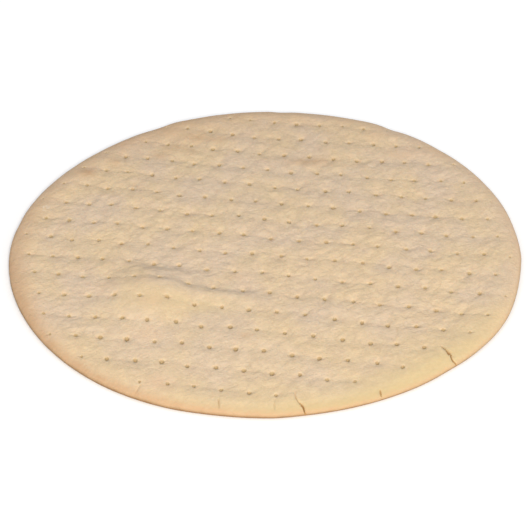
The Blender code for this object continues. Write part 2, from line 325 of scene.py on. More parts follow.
@dataclass(frozen=True)
class Creases:
    """Thin grooves that run from hole to hole, where the sheet buckled as it sprang back."""

    steps: tuple[tuple[int, int, float, float], ...] = (  # columns, rows, how common, how strong
        (1, 0, 0.85, 1.0), (0, 1, 0.12, 0.7), (-1, 1, 0.6, 1.0),
    )
    groove: float = 0.001
    trough: float = 0.0036
    margin: float = 2.5  # how many troughs' widths round a crease are drawn
    wander: float = 0.0026  # how far a crease strays from a straight line
    wander_size: float = 0.0085
    meets: float = 0.0035  # nearer to a hole than this it strays less
    shortest: float = 0.16  # how soon a crease fades, as a share of the way to the next hole
    longest: float = 0.75

    def links(self, holes: Holes) -> list[tuple[int, int, Pair, Pair]]:
        """The creases to draw.

        Args:
            holes: Every docking hole.

        Returns:
            For each crease the count of the holes at its two ends, its strengths and its lengths there.
        """
        draw = np.random.default_rng(Seed.CREASES.value)
        counts = {place: count for count, place in enumerate(zip(holes.column.tolist(), holes.row.tolist()))}
        span = self.longest - self.shortest
        found = []
        for columns, rows, common, strong in self.steps:
            for (column, row), count in counts.items():
                chance, start, end, short, long = draw.uniform(0.0, 1.0, 5)
                other = counts.get((column + columns, row + rows))
                if other is not None and chance < common:
                    lengths = self.shortest + span * short**2, self.shortest + span * long**2
                    found.append((count, other, (strong * start, strong * end), lengths))
        return found

    def draw(self, at: Places, away: Array, holes: Holes) -> tuple[Array, Array]:
        """How deep in a crease each place lies.

        The plan is first bent by soft patches, except near the holes, so that a straight line comes out
        crooked. Across a line the depth is a bell curve, and along it a bell curve from either end.

        Args:
            at: Plan places.
            away: Distance to the nearest hole.
            holes: Every docking hole.

        Returns:
            The share of the sharp groove and of the wide trough beside it, from 0 to 1.
        """
        free = self.wander * (1.0 - bell(away, self.meets))
        bends = (Rough(seed, 1.0, self.wander_size, self.wander_size) for seed in (Seed.BEND_X, Seed.BEND_Y))
        x, y = (place + free * bend.values(at) for place, bend in zip(at, bends))
        groove, trough = np.zeros_like(x), np.zeros_like(x)
        margin = self.margin * self.trough
        for start, end, strengths, lengths in self.links(holes):
            ax, bx, ay, by = holes.x[start], holes.x[end], holes.y[start], holes.y[end]
            near = (x > min(ax, bx) - margin) & (x < max(ax, bx) + margin)
            near &= (y > min(ay, by) - margin) & (y < max(ay, by) + margin)
            px, py, dx, dy = x[near] - ax, y[near] - ay, bx - ax, by - ay
            held = np.clip((px * dx + py * dy) / (dx**2 + dy**2), 0.0, 1.0)
            off = np.hypot(px - held * dx, py - held * dy)
            ends = strengths[0] * bell(held, lengths[0]), strengths[1] * bell(1.0 - held, lengths[1])
            strength = np.maximum(*ends)
            groove[near] = np.maximum(groove[near], strength * bell(off, self.groove))
            trough[near] = np.maximum(trough[near], strength * bell(off, self.trough))
        return groove, trough


@dataclass(frozen=True)
class Roll:
    """A fold of the skin: it rises at once in front of its foot, rounds over and falls away slowly."""

    foot: Stops  # the line of its foot, as (x, y, rise), left to right
    steep: float  # over what distance it rises
    gentle: float  # and falls away
    corner: float = 0.0015  # over what distance its foot is eased

    def height(self, at: Places) -> Array:
        """Heights above the sheet.

        The distance in front of the foot is first eased to nothing behind it. The height is the rise
        times one less a falling exponential of that distance, times a bell curve of it.

        Args:
            at: Plan places.

        Returns:
            The roll's height at each place.
        """
        foot_x, foot_y, rises = zip(*self.foot)
        before = (np.interp(at[0], foot_x, foot_y) - at[1]) / self.corner
        front = self.corner * np.logaddexp(0.0, before)
        rise = np.interp(at[0], foot_x, rises)
        return rise * (1.0 - np.exp(-front / self.steep)) * bell(front, self.gentle)


CREST_ROLL = Roll(  # along the bubble's back, and on to the right as a low ridge
    (
        (-0.111, -0.0445, 0.0), (-0.098, -0.0453, 0.0012), (-0.085, -0.0412, 0.0022),
        (-0.071, -0.0409, 0.0027), (-0.055, -0.0455, 0.0028), (-0.037, -0.0505, 0.0046),
        (-0.015, -0.0536, 0.0039), (0.01, -0.0595, 0.0),
    ),
    steep=0.0068,
    gentle=0.0128,
)
BACK_ROLL = Roll(  # where the bubble's back meets the flat
    (
        (-0.12, -0.0414, 0.0), (-0.099, -0.0305, 0.0021), (-0.086, -0.0224, 0.003),
        (-0.072, -0.0255, 0.0029), (-0.057, -0.0256, 0.0026), (-0.04, -0.035, 0.0),
    ),
    steep=0.0067,
    gentle=0.025,
)


@dataclass(frozen=True)
class Blister:
    """The large bubble under the skin, and the two rolls that its skin makes behind it."""

    middle: Pair = (-0.0786, -0.058)
    reach: float = 0.0385
    rise: float = 0.0046
    fullness: float = 2.2
    crest: Roll = CREST_ROLL
    back: Roll = BACK_ROLL
    pucker: Rough = Rough(Seed.PUCKER, 0.0009, 0.0075, 0.0075)

    def swelling(self, at: Places) -> Array:
        """The share of the bubble under each place: one less the squared distance, to a power."""
        away = np.hypot(at[0] - self.middle[0], at[1] - self.middle[1]) / self.reach
        return np.clip(1.0 - away**2, 0.0, None) ** self.fullness

    def height(self, at: Places) -> Array:
        """The bubble and its rolls, whose feet are puckered by soft patches."""
        puckered = at[0], at[1] + self.pucker.values(at)
        return self.rise * self.swelling(at) + (self.crest.height(puckered) + self.back.height(puckered))


@dataclass(frozen=True)
class Crack:
    """A crooked split in the rim, from a docking hole outwards."""

    stops: Stops  # bearing in degrees, share of the way out, width
    floor: float  # height of its bottom
    cut: float  # how much of the way down to its bottom it goes
    show: float  # how strongly its brown inside shows
    walls: float = 1.3  # how far out its walls reach, in half widths
    hair: float = 0.0003  # it fades where half its width is less than this
    draw_wide: float = 0.0032  # points as near as this are drawn towards it
    draw_in: float = 0.62  # by this share of their distance
    draw_lead: float = 0.03  # how far before its first stop points start to be drawn in
    least_share: float = 0.1  # points further in are drawn as if they lay here

    def off(self, bearing: Array, share: Array, radius: float) -> Array:
        """Distance across the split, from its middle line, with a sign."""
        bearings, shares, _ = zip(*self.stops)
        return np.radians(off_bearing(bearing, np.interp(share, shares, bearings))) * radius * share

    def gather(self, bearing: Array, share: Array, radius: float) -> Array:
        """Bearings drawn towards the split, most of all beside it, so that its walls have points."""
        off = self.off(bearing, share, radius)
        begun = smooth((share - self.stops[0][1] + self.draw_lead) / self.draw_lead)
        near = bell(off, self.draw_wide) * begun
        return bearing - self.draw_in * near * off / (radius * np.maximum(share, self.least_share))

    def opening(self, bearing: Array, share: Array, radius: float) -> Array:
        """How far inside the split each place is.

        It is 1 along the middle and falls straight to 0 at the top of the walls. The width changes evenly
        from stop to stop, and is nothing before the first stop and past the last.

        Args:
            bearing: Bearings.
            share: Shares of the way out.
            radius: The round's radius.

        Returns:
            Values from 0 to 1.
        """
        _, shares, widths = zip(*self.stops)
        half = 0.5 * np.interp(share, shares, widths, left=0.0, right=0.0)
        across = self.walls - np.abs(self.off(bearing, share, radius)) / np.maximum(half, self.hair)
        return np.clip(half / self.hair, 0.0, 1.0) * np.clip(across, 0.0, 1.0)

    def lowered(self, height: Array, opening: Array) -> Array:
        """Heights with the split cut down towards its bottom."""
        return height - opening * self.cut * np.clip(height - self.floor, 0.0, None)


NEAR_CRACK: Stops = (
    (-83.3, 0.895, 0.0001), (-83.5, 0.917, 0.0002), (-83.3, 0.941, 0.0003), (-82.9, 0.954, 0.0003),
    (-82.5, 0.963, 0.0008), (-82.3, 0.969, 0.0015), (-82.2, 0.976, 0.0009), (-82.1, 0.988, 0.0008),
    (-81.9, 1.002, 0.001), (-81.8, 1.03, 0.0011),
)
RIGHT_CRACK: Stops = (
    (-44.2, 0.904, 0.0002), (-44.3, 0.911, 0.0008), (-44.5, 0.93, 0.0009), (-44.7, 0.942, 0.0014),
    (-44.8, 0.951, 0.0021), (-44.8, 0.959, 0.0012), (-45.2, 0.966, 0.0008), (-45.5, 0.973, 0.0009),
    (-45.7, 0.984, 0.0011), (-45.6, 0.999, 0.0011), (-45.6, 1.03, 0.0012),
)
FINE_LEFT: Stops = ((-118.3, 0.945, 0.0006), (-118.1, 0.97, 0.0008), (-118.0, 0.998, 0.0005))
FINE_NEAR_LEFT: Stops = ((-100.4, 0.935, 0.0003), (-100.3, 0.955, 0.0009), (-99.8, 0.985, 0.0004))
FINE_NEAR_MIDDLE: Stops = ((-88.1, 0.93, 0.0006), (-88.3, 0.958, 0.0007), (-88.3, 0.98, 0.0005))
FINE_NEAR_RIGHT: Stops = ((-64.8, 0.97, 0.0005), (-65.0, 0.983, 0.0014), (-65.1, 0.994, 0.0005))
CRACKS = (
    Crack(NEAR_CRACK, floor=0.0024, cut=1.0, show=1.0),
    Crack(RIGHT_CRACK, floor=0.0024, cut=0.5, show=0.75),
    Crack(FINE_NEAR_LEFT, floor=0.003, cut=0.35, show=0.35),
    Crack(FINE_NEAR_MIDDLE, floor=0.003, cut=0.25, show=0.16),
    Crack(FINE_LEFT, floor=0.003, cut=0.25, show=0.2),
    Crack(FINE_NEAR_RIGHT, floor=0.0026, cut=0.45, show=0.7),
)


@dataclass(frozen=True)
class Patch:
    """A soft oval patch of the skin, by its plan place."""

    x: float
    y: float
    long: float
    wide: float
    amount: float

    def cover(self, at: Places) -> Array:
        """The patch's amount at each place, a bell curve of the distance from its middle."""
        return self.amount * bell(at[0] - self.x, self.long) * bell(at[1] - self.y, self.wide)


@dataclass(frozen=True)
class RimBake:
    """A stretch of the rim that the oven changed more, by its bearing and width in degrees."""

    bearing: float
    width: float
    amount: float
    deep: float  # how far inward the change reaches

    def cover(self, bearing: Array, inward: Array) -> Array:
        """The stretch's amount at each place: a bell curve along the rim times one inwards."""
        along = bell(off_bearing(bearing, self.bearing), self.width)
        return self.amount * along * bell(np.clip(inward, 0.0, None), self.deep)


PATCHES: dict[Mask, tuple[Patch, ...]] = {
    Mask.TOAST: (
        Patch(-0.131, 0.0875, 0.007, 0.006, 0.6), Patch(-0.111, 0.102, 0.005, 0.0045, 0.4),
        Patch(-0.0789, 0.112, 0.007, 0.005, 0.35), Patch(-0.051, 0.135, 0.011, 0.007, 0.35),
        Patch(-0.034, 0.132, 0.008, 0.005, 0.25), Patch(-0.0564, 0.1188, 0.005, 0.005, 0.25),
        Patch(-0.069, 0.122, 0.009, 0.006, 0.25), Patch(0.031, 0.1035, 0.019, 0.0065, 0.62),
        Patch(-0.0142, -0.1, 0.0065, 0.005, 0.5), Patch(-0.0492, 0.0, 0.006, 0.005, 0.25),
        Patch(0.1026, -0.0779, 0.009, 0.005, 0.25), Patch(-0.064, -0.15, 0.012, 0.007, 0.25),
        Patch(-0.075, -0.06, 0.03, 0.022, 0.1),
    ),
    # warmer, lighter patches: partly the oven's colour, partly painted light
    Mask.WARM_AND_LIT: (
        Patch(0.1026, 0.1131, 0.011, 0.0075, 0.5), Patch(0.0822, 0.1388, 0.009, 0.0075, 0.35),
        Patch(0.1304, 0.1158, 0.011, 0.008, 0.55), Patch(-0.0717, 0.143, 0.012, 0.0085, 0.45),
        Patch(-0.106, 0.129, 0.009, 0.008, 0.4), Patch(-0.0782, -0.0665, 0.012, 0.008, 0.35),
        Patch(-0.0853, -0.0458, 0.01, 0.006, 0.3), Patch(-0.1096, -0.0469, 0.009, 0.007, 0.3),
        Patch(-0.0161, -0.0369, 0.012, 0.006, 0.3), Patch(-0.069, -0.147, 0.011, 0.008, 0.5),
        Patch(-0.0772, -0.0991, 0.012, 0.008, 0.35),
    ),
    Mask.PUFF: (
        Patch(-0.076, -0.065, 0.024, 0.014, 0.95), Patch(-0.033, -0.068, 0.026, 0.01, 0.6),
        Patch(0.005, -0.116, 0.08, 0.028, 0.2),
    ),
    Mask.FLOUR: (
        Patch(-0.1579, 0.0443, 0.005, 0.0055, 0.9), Patch(0.0773, 0.0989, 0.005, 0.004, 0.8),
        Patch(0.061, 0.092, 0.006, 0.006, 0.6), Patch(0.086, 0.08, 0.011, 0.006, 0.5),
        Patch(0.099, 0.073, 0.009, 0.006, 0.5), Patch(-0.02, 0.034, 0.011, 0.005, 0.6),
        Patch(0.0307, -0.0151, 0.006, 0.004, 0.5), Patch(-0.0004, -0.0287, 0.006, 0.004, 0.45),
    ),
}
RIM_BAKES: dict[Mask, tuple[RimBake, ...]] = {
    Mask.TOAST: (
        RimBake(-132.0, 24.0, 0.8, 0.0062), RimBake(-105.0, 18.0, 0.3, 0.006),
        RimBake(178.0, 32.0, 0.48, 0.015), RimBake(-160.0, 16.0, 0.45, 0.011),
        RimBake(120.0, 28.0, 0.25, 0.013), RimBake(70.0, 26.0, 0.18, 0.01),
        RimBake(10.0, 30.0, 0.15, 0.008), RimBake(-80.0, 40.0, 0.45, 0.006),
        RimBake(108.0, 55.0, 0.42, 0.05),
    ),
    # warmer, lighter stretches of the rim: partly the oven's colour, partly painted light where the rim
    # slopes into shade
    Mask.WARM_AND_LIT: (
        RimBake(95.0, 45.0, 0.65, 0.0105), RimBake(10.0, 45.0, 0.45, 0.0085),
        RimBake(-175.0, 34.0, 0.65, 0.012),
    ),
    # the front rim darker and golden: partly baking, partly painted shade against the lamp's full light
    Mask.GOLD_AND_SHADE: (RimBake(-76.0, 28.0, 0.9, 0.0055),),
    Mask.PUFF: (RimBake(-82.0, 46.0, 0.9, 0.019), RimBake(-44.0, 22.0, 0.95, 0.018)),
}


def disc_grid(cells: int) -> tuple[Array, Array]:
    """A square grid bent into a disc of even cells.

    The larger of a place's two grid coordinates becomes its distance from the middle, and the other
    over it becomes the angle within that quarter of the turn.

    Args:
        cells: How many cells the grid has along each side.

    Returns:
        The share of the way out and the bearing of every grid point, row after row.
    """
    line = np.linspace(-1.0, 1.0, cells + 1)
    a, b = (part.ravel() for part in np.meshgrid(line, line))
    sideways = np.abs(a) > np.abs(b)
    reach = np.where(sideways, a, b)
    divisor = np.where(reach == 0.0, 1.0, reach)
    quarter = 0.25 * math.pi
    turn = np.where(sideways, quarter * b / divisor, 2.0 * quarter - quarter * a / divisor)
    return np.abs(reach), turn + math.pi * (reach < 0.0)


def border_loop(cells: int) -> Array:
    """The counts of a grid's border points, in order anticlockwise from its first corner."""
    count = np.arange((cells + 1) ** 2).reshape(cells + 1, cells + 1)
    return np.concatenate([count[0, :-1], count[:-1, -1], count[-1, :0:-1], count[:0:-1, 0]])


def grid_faces(cells: int, start: int, up: bool) -> Array:
    """Two triangles for each cell of a grid, with the cut changing sides from cell to cell.

    Args:
        cells: How many cells the grid has along each side.
        start: The count of the grid's first point.
        up: Whether the triangles face up or down.

    Returns:
        Rows of three point counts.
    """
    count = start + np.arange((cells + 1) ** 2).reshape(cells + 1, cells + 1)
    a, b, c, d = count[:-1, :-1], count[:-1, 1:], count[1:, 1:], count[1:, :-1]
    row, column = np.indices(a.shape)
    even = ((row + column) % 2 == 0)[..., None]
    first = np.where(even, np.stack([a, b, c], -1), np.stack([a, b, d], -1))
    second = np.where(even, np.stack([a, c, d], -1), np.stack([b, c, d], -1))
    faces = np.concatenate([first.reshape(-1, 3), second.reshape(-1, 3)])
    return faces if up else faces[:, ::-1]


def joined(*triangles: tuple[Array, Array, Array]) -> Array:
    """Rows of three point counts, from the counts of the corners of each kind of triangle."""
    return np.concatenate([np.column_stack(corners) for corners in triangles])


def band_faces(upper: Array, lower: Array) -> Array:
    """Triangles between two loops of equal count, the lower one further along the way round."""
    upper_next, lower_next = np.roll(upper, -1), np.roll(lower, -1)
    return joined((upper, lower, lower_next), (upper, lower_next, upper_next))


def halving_faces(fine: Array, coarse: Array) -> Array:
    """Triangles between a loop and one of half its count, three to each edge of the coarse one."""
    first, second, third, after = fine[0::2], fine[1::2], np.roll(fine, -2)[0::2], np.roll(coarse, -1)
    return joined((first, coarse, second), (coarse, after, second), (after, third, second))


@dataclass(frozen=True)
class Round:
    """The whole crust: its sizes, its surface and the masks that its finish reads."""

    outline: Outline = Outline()
    docking: Docking = Docking()
    creases: Creases = Creases()
    blister: Blister = Blister()

    field_thick: float = 0.006
    rim_rise: float = 0.0008
    rim_crest: float = 0.014
    rim_width: float = 0.009
    rim_lumps: Rough = Rough(Seed.LUMPS, 0.00022, 0.016, 0.016)
    row_swell: float = 0.0001
    waves: tuple[tuple[float, float, float, float], ...] = (  # length, height, bearing, start in degrees
        (0.118, 0.0003, 70.0, 20.0), (0.083, 0.00026, 12.0, 140.0), (0.057, 0.0002, 118.0, 260.0),
    )

    rounding: float = 0.0108  # how far inward the skin starts to round over
    border: float = 0.0045  # how far inward the top's grid ends
    under_round: float = 0.0022
    edge_middle: float = 0.002
    edge_angles: tuple[float, ...] = (46.0, 37.0, 26.0, 14.0, 0.0, -16.0, -40.0, -65.0, -90.0)
    edge_lumps: Rough = Rough(Seed.EDGE, 0.00012, 0.01, 0.01)
    edge_lump_scale: float = 1.1
    edge_lump_drift: float = 0.3  # how far the lumps move from loop to loop, for each radian between them

    pit_radius: float = 0.00105
    pit_depth: float = 0.0027
    pit_power: int = 3  # its bell curve is flatter in the middle, with steeper sides
    stain_and_shade_radius: float = 0.0024
    shade_offset_away: float = 0.0003  # how much further away than its hole the middle of its painted shade lies, so that it darkens the far wall
    front_row: float = -0.1  # where the holes start to be fainter, and over what length they do
    front_run: float = 0.05
    stain_and_shade_fade: float = 0.11
    pit_fade: float = 0.3
    dimple_radius: float = 0.0056
    dimple_depth: float = 0.00045
    dimple_away: float = 2.5  # how much deeper the dimples are, for each metre further away

    pillows: Rough = Rough(Seed.PILLOWS, 0.00021, 0.012, 0.012)
    wrinkles: Rough = Rough(Seed.WRINKLES, 0.00031, 0.0078, 0.0044, turn=40.0, layers=3)
    pebbles: Rough = Rough(Seed.PEBBLES, 0.00024, 0.0042, 0.0042)
    groove_depth: float = 0.00036
    trough_depth: float = 0.00026
    groove_shade: float = 0.7  # how much of a crease's shade is its groove's
    looser_away: float = 0.1  # how much rougher the skin is, for each metre further away
    looser_behind: float = 0.34  # and how much rougher again behind the front rows
    rim_loose: float = 0.25  # how rough the bare rim is
    bare_rim: float = 0.35  # how far inward it stays so, in rim crests
    held_tight: float = 0.65  # how much less rough the skin is where the blister pulls it tight
    tight_swelling: float = 0.5  # the share of the bubble at which it does
    tight_fold: float = 0.0028  # and the height of the fold

    cells: int = 256
    gather: float = 0.55  # how far points are drawn towards a hole
    gather_radius: float = 0.005
    gather_fade: float = 0.02  # share of the way out over which that ends at the border

    under_border: float = 0.0012
    under_held: float = 0.04  # share of the way out over which the underside lifts from flat
    under_lift: Rough = Rough(Seed.UNDERSIDE, 0.0003, 0.022, 0.022, layers=3)
    under_flour: float = 2.2
    under_from: float = 1.2  # where on the edge the underside's finish starts
    pin_lift: float = 0.0009
    pin_radius: float = 0.0016
    pin_stain: float = 0.002

    @cached_property
    def holes(self) -> Holes:
        """Every docking hole."""
        return self.docking.holes(self.outline)

    def slow_waves(self, at: Places) -> Array:
        """The sheet's own slight unevenness, as a sum of sine waves."""
        total = np.zeros_like(at[0])
        for length, height, bearing, start in self.waves:
            turn = math.radians(bearing)
            phase = 2.0 * math.pi * (at[0] * math.cos(turn) + at[1] * math.sin(turn)) / length
            total += height * np.sin(phase + math.radians(start))
        return total

    def bend(self, inward: Array) -> Array:
        """The share of its height that the skin keeps as it rounds over: a quarter ellipse."""
        return np.sqrt(1.0 - np.clip(1.0 - inward / self.rounding, 0.0, 1.0) ** 2)

    def gathered(self, grid: tuple[Array, Array], border: float) -> Places:
        """Plan places of a disc grid, drawn together round every hole and beside every crack.

        A place moves towards its nearest hole by a share of its distance, which a bell curve of that
        distance makes small further off. Near the border it doesn't move.

        Args:
            grid: Shares of the way out and bearings.
            border: Share of the way out at which the grid ends.

        Returns:
            Plan places.
        """
        out, bearing = grid[0] * border, grid[1]
        for crack in CRACKS:
            bearing = crack.gather(bearing, out, self.outline.radius)
        x, y = self.outline.place(bearing, out)
        off_x, off_y, _ = self.holes.nearest((x, y))
        pull = self.gather * bell(np.hypot(off_x, off_y), self.gather_radius)
        pull *= np.clip((border - out) / self.gather_fade, 0.0, 1.0)
        return x - pull * off_x, y - pull * off_y

    def opened(self, at: Places, height: Array) -> tuple[Array, Array]:
        """Cuts the cracks into a surface.

        Inside a crack the surface goes down towards the crack's floor, by the opening's share.

        Args:
            at: Plan places.
            height: Heights before the cracks.

        Returns:
            The new heights, and how far inside a crack each place is.
        """
        bearing, share = np.arctan2(at[1], at[0]), self.outline.share(at)
        inside = np.zeros_like(height)
        for crack in CRACKS:
            opening = crack.opening(bearing, share, self.outline.radius)
            height = crack.lowered(height, opening)
            inside = np.maximum(inside, opening * crack.show)
        return height, inside

    def sheet(self, at: Places, inward: Array) -> Array:
        """The smooth sheet: its thickness, a bell curve for the rim, the blister, waves and rows."""
        rim = bell(inward - self.rim_crest, self.rim_width) * (self.rim_rise + self.rim_lumps.values(at))
        height = self.field_thick + rim + self.blister.height(at)
        rows = np.cos(2.0 * math.pi * self.docking.rows_down(at, self.outline.radius))
        held = np.clip(inward / self.rim_crest, 0.0, 1.0)
        return height + held * (self.slow_waves(at) - self.row_swell * rows)

    def looseness(self, at: Places, inward: Array, behind: Array) -> Array:
        """How freely the skin wrinkles at each place: less on the rim and where it is pulled tight."""
        docked = smooth((inward - self.bare_rim * self.rim_crest) / self.rim_crest)
        fold = np.clip(self.blister.crest.height(at) / self.tight_fold, 0.0, 1.0)
        tight = np.maximum(smooth(self.blister.swelling(at) / self.tight_swelling), fold)
        loose = (self.rim_loose + (1.0 - self.rim_loose) * docked) * (1.0 - self.held_tight * tight)
        return loose * (1.0 + self.looser_away * at[1]) * (1.0 + self.looser_behind * behind)

    def top(self, at: Places) -> tuple[Array, Masks]:
        """The top skin, before the cracks.

        The height is the smooth sheet's, plus pillows and wrinkles, less the creases, dimples and pits.
        Near the outline it falls along a quarter ellipse to the widest line of the edge.

        Args:
            at: Plan places.

        Returns:
            Heights over the underside's plane, and the masks of the skin.
        """
        inward = (1.0 - self.outline.share(at)) * self.outline.radius
        off_x, off_y, size = self.holes.nearest(at)
        away, off_stain_and_shade = np.hypot(off_x, off_y), np.hypot(off_x, off_y - self.shade_offset_away)
        behind = smooth((at[1] - self.front_row) / self.front_run)
        loose = self.looseness(at, inward, behind)
        groove, trough = self.creases.draw(at, away, self.holes)
        height = self.sheet(at, inward)
        height += loose * sum(rough.values(at) for rough in (self.pillows, self.wrinkles, self.pebbles))
        height -= loose * (self.groove_depth * groove + self.trough_depth * trough)
        height -= self.dimple_depth * size * (1.0 + self.dimple_away * at[1]) * bell(away, self.dimple_radius)
        pit = self.pit_depth * size * (1.0 - self.pit_fade * behind)
        height -= pit * bell(away, self.pit_radius * size, self.pit_power)
        bend = self.bend(inward)
        masks = self.oven(np.arctan2(at[1], at[0]), inward)
        for mask, patches in PATCHES.items():
            masks[mask] += sum(patch.cover(at) for patch in patches)
        masks[Mask.EDGE] = 1.0 - bend
        # the hole's brown crumb and painted shade, set a little beyond the hole over its far wall, fainter
        # behind the front rows
        masks[Mask.PIT_STAIN_AND_SHADE] = (1.0 - self.stain_and_shade_fade * behind) * bell(off_stain_and_shade, self.stain_and_shade_radius * size)
        masks[Mask.CREASE] = loose * (self.groove_shade * groove + (1.0 - self.groove_shade) * trough)
        return self.edge_middle + (height - self.edge_middle) * bend, masks

    def oven(self, bearing: Array, inward: Array) -> Masks:
        """Masks that are 0 but for what the oven did to the rim."""
        masks = {mask: np.zeros_like(bearing) for mask in Mask}
        for mask, bakes in RIM_BAKES.items():
            masks[mask] += sum(bake.cover(bearing, inward) for bake in bakes)
        return masks

    def edge(self, border: Places, top: Array) -> tuple[Array, Masks]:
        """The rounded edge, as loops of points from the border of the top skin down and under.

        Each loop stands at one angle of a quarter ellipse. Above the widest line it is the ellipse that
        the top's border lies on, and below it one that ends on the underside's plane.

        Args:
            border: Plan places of the border, in order round it.
            top: Heights of the border before the cracks.

        Returns:
            Points in rows of three, loop after loop, and their masks.
        """
        bearing = np.arctan2(border[1], border[0])
        crest = (top - self.edge_middle) / self.bend(np.array(self.border))
        loops, turns, inwards = [], [], []
        for angle in self.edge_angles:
            turn, above = math.radians(angle), angle > 0.0
            drifted = border[1] * self.edge_lump_scale + self.edge_lump_drift * turn
            spread = border[0] * self.edge_lump_scale, drifted
            inward = (self.rounding if above else self.under_round) * (1.0 - math.cos(turn))
            inward = inward + math.cos(turn) * (self.edge_lumps.most + self.edge_lumps.values(spread))
            ring = self.outline.place(bearing, 1.0 - inward / self.outline.radius)
            height = self.edge_middle + (crest if above else self.edge_middle) * math.sin(turn)
            loops.append(np.column_stack([*ring, height + np.zeros_like(bearing)]))
            turns.append(np.full_like(bearing, 1.0 - (math.sin(turn) if above else angle / 90.0)))
            inwards.append(inward if above else np.zeros_like(bearing))
        points, edge = np.concatenate(loops), np.concatenate(turns)
        masks = self.oven(np.tile(bearing, len(loops)), np.concatenate(inwards))
        points[:, 2], masks[Mask.CRACK] = self.opened((points[:, 0], points[:, 1]), points[:, 2])
        masks[Mask.EDGE], masks[Mask.UNDER] = edge, smooth(edge - self.under_from)
        masks[Mask.PUFF] *= np.clip(2.0 - edge, 0.0, 1.0)
        return points, masks

    def underside(self) -> tuple[Array, Masks]:
        """The underside: flat where it lies, a little lifted in soft patches and where pins came through.

        Returns:
            Points in rows of three, in the order of a grid of half as many cells, and their masks.
        """
        grid = disc_grid(self.cells // 2)
        at = self.gathered(grid, 1.0 - (self.under_round + self.under_border) / self.outline.radius)
        off_x, off_y, size = self.holes.nearest(at)
        away = np.hypot(off_x, off_y)
        held = np.clip((1.0 - grid[0]) / self.under_held, 0.0, 1.0)
        lift = np.clip(self.under_lift.values(at), 0.0, None)
        pins = self.pin_lift * bell(away, self.pin_radius) * 0.5 * (1.0 + size)
        masks = {mask: np.zeros_like(away) for mask in Mask}
        masks[Mask.EDGE] += 2.0
        masks[Mask.UNDER] += 1.0
        masks[Mask.PIT_STAIN_AND_SHADE] = held * bell(away, self.pin_stain)
        masks[Mask.FLOUR] = smooth(self.under_flour * lift / self.under_lift.most)
        return np.column_stack([*at, held * (lift + pins)]), masks

    def surface(self) -> tuple[Array, Array, Masks]:
        """The whole closed surface: the top, the edge's loops and the underside.

        Returns:
            Points in rows of three, triangles in rows of three counts, and the masks.
        """
        x, y = self.gathered(disc_grid(self.cells), 1.0 - self.border / self.outline.radius)
        whole, top_masks = self.top((x, y))
        height, top_masks[Mask.CRACK] = self.opened((x, y), whole)
        loop = border_loop(self.cells)
        edge, edge_masks = self.edge((x[loop], y[loop]), whole[loop])
        under, under_masks = self.underside()
        faces = [grid_faces(self.cells, 0, up=True)]
        upper, start = loop, len(x)
        for _ in self.edge_angles:
            lower = start + np.arange(len(loop))
            faces.append(band_faces(upper, lower))
            upper, start = lower, start + len(loop)
        faces.append(halving_faces(upper, start + border_loop(self.cells // 2)))
        faces.append(grid_faces(self.cells // 2, start, up=False))
        parts = top_masks, edge_masks, under_masks
        masks = {mask: np.concatenate([part[mask] for part in parts]) for mask in Mask}
        return np.concatenate([np.column_stack([x, y, height]), edge, under]), np.concatenate(faces), masks

    def build(self, name: str) -> bpy.types.Object:
        """Makes the round's object, with its place in its mesh.

        Args:
            name: The object's name.

        Returns:
            The object, linked to the scene.
        """
        points, faces, masks = self.surface()
        points[:, :2] -= self.outline.middle()
        mesh = bpy.data.meshes.new(name)
        mesh.from_pydata(points.tolist(), [], faces.tolist())
        mesh.shade_smooth()
        for mask, values in masks.items():
            attribute = mesh.attributes.new(mask.value, "FLOAT", "POINT")
            attribute.data.foreach_set("value", values.astype(np.float32))
        mesh.update()
        piece = bpy.data.objects.new(name, mesh)
        bpy.context.scene.collection.objects.link(piece)
        return piece


@dataclass(frozen=True)
class Grain:
    """The patches of soft noise."""

    size: float  # in metres
    detail: float = 3.0  # how many layers of finer patches are added
    roughness: float = 0.55  # how strong each of those is beside the one before


class Sock:
    """A shader socket that takes part in Python expressions, each of which adds a Math node."""

    def __init__(self, graph: "Graph", socket: bpy.types.NodeSocket) -> None:
        """Keeps the socket and the graph that it belongs to."""
        self.graph = graph
        self.socket = socket

    def math(self, operation: str, *others: Any) -> "Sock":
        """One Math node on this value and others."""
        return self.graph.node("ShaderNodeMath", {"operation": operation}, dict(enumerate((self, *others))))

    def __add__(self, other: Any) -> "Sock":
        """This plus other."""
        return self.math("ADD", other)

    def __mul__(self, other: Any) -> "Sock":
        """This times other."""
        return self.math("MULTIPLY", other)

    def __sub__(self, other: Any) -> "Sock":
        """This less other."""
        return self.math("SUBTRACT", other)

    def __rsub__(self, other: float) -> "Sock":
        """Other less this."""
        return self.math("MULTIPLY", -1.0).math("ADD", other)

    __radd__ = __add__
    __rmul__ = __mul__

    def between(self, low: float, high: float) -> "Sock":
        """An easing from 0 at low to 1 at high."""
        values = {"Value": self, "From Min": low, "From Max": high}
        return self.graph.node("ShaderNodeMapRange", {"interpolation_type": "SMOOTHSTEP"}, values)


